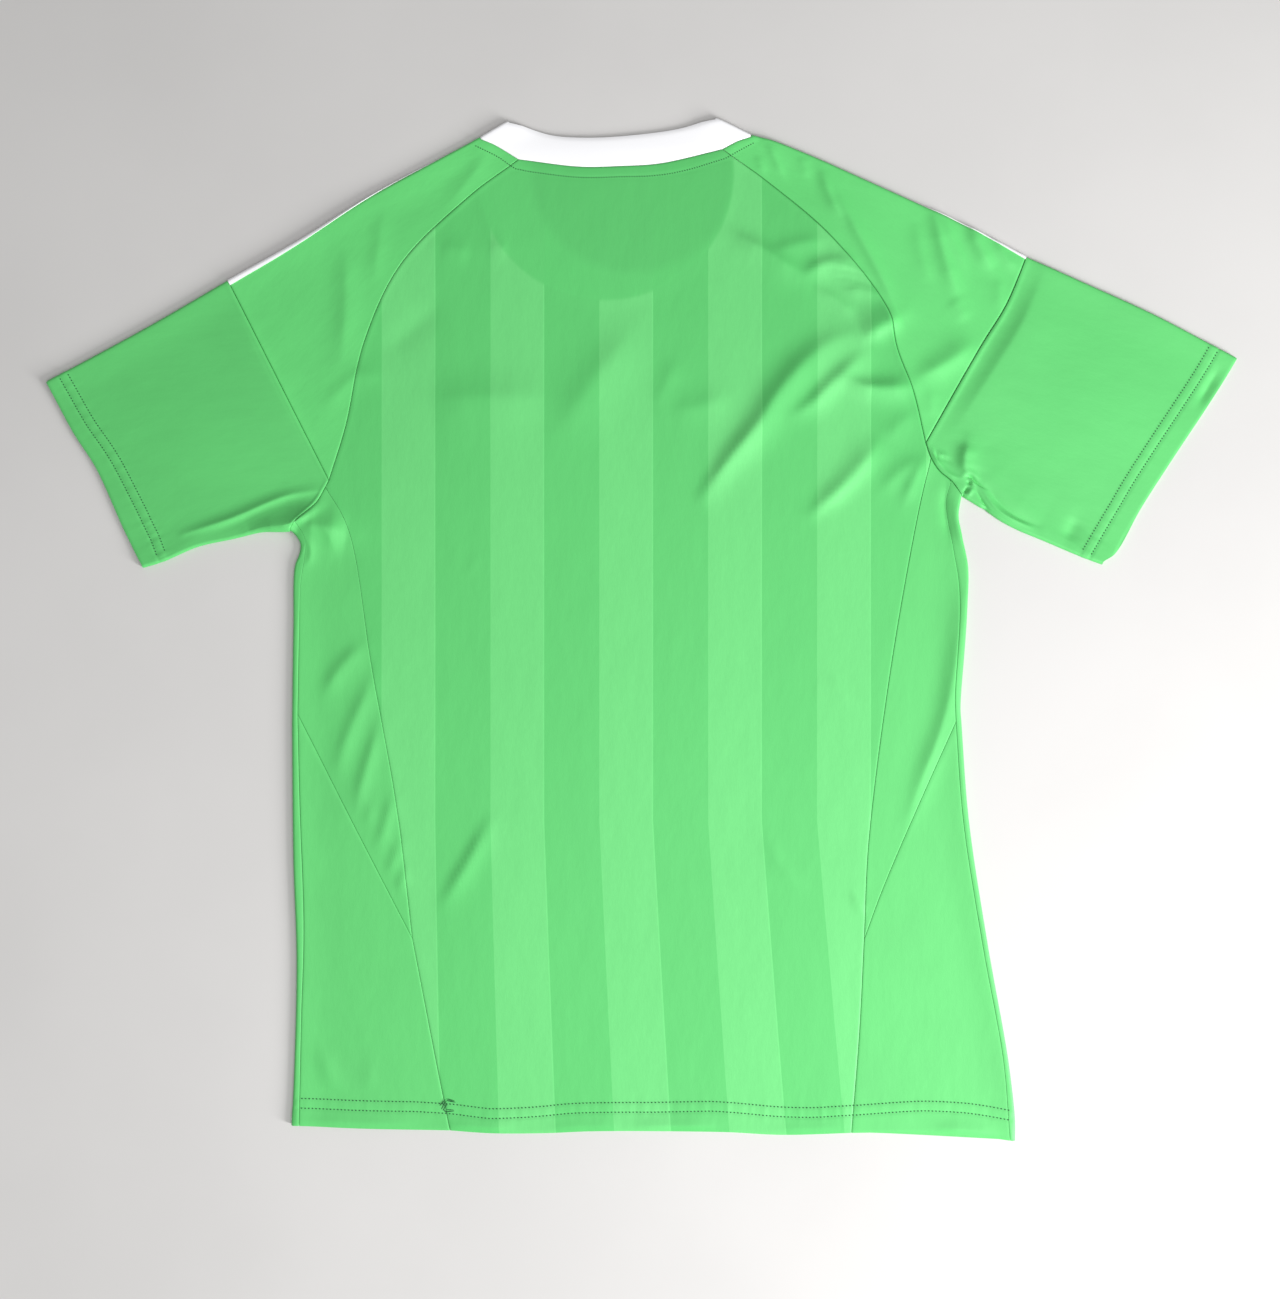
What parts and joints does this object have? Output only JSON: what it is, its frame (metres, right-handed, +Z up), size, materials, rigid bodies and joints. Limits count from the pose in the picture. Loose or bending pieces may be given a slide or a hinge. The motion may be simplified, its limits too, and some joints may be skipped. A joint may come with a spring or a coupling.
{
  "type": "football jersey",
  "caption": "Short-sleeved football jersey laid flat with its back upwards, with raglan shoulders, side panels and a flat white neck band.",
  "frame": {"origin": "centre of the garment's outline, on the surface that it lies on", "axes": "+X towards the wearer's right sleeve, +Y from the hem to the neck, +Z up out of the surface, from the front of the shirt to its back"},
  "size_m": [0.8906, 0.7655, 0.0094],
  "materials": {
    "green_knit": "light green polyester interlock knit with a soft satin sheen, tonal stripes on the back",
    "white_rib": "white flat knit neck band, matte",
    "white_tape": "plain white knit tape, matte"
  },
  "bodies": {
    "root": {"back_body": "green_knit", "front_body": "green_knit", "neck_facing": "green_knit", "side_upper_left": "green_knit", "side_upper_right": "green_knit", "side_lower_left": "green_knit", "side_lower_right": "green_knit", "raglan_left": "green_knit", "raglan_right": "green_knit", "sleeve_left": "green_knit", "sleeve_right": "green_knit", "collar": "white_rib", "shoulder_tape_left": "white_tape", "shoulder_tape_right": "white_tape"}
  },
  "joints": []
}
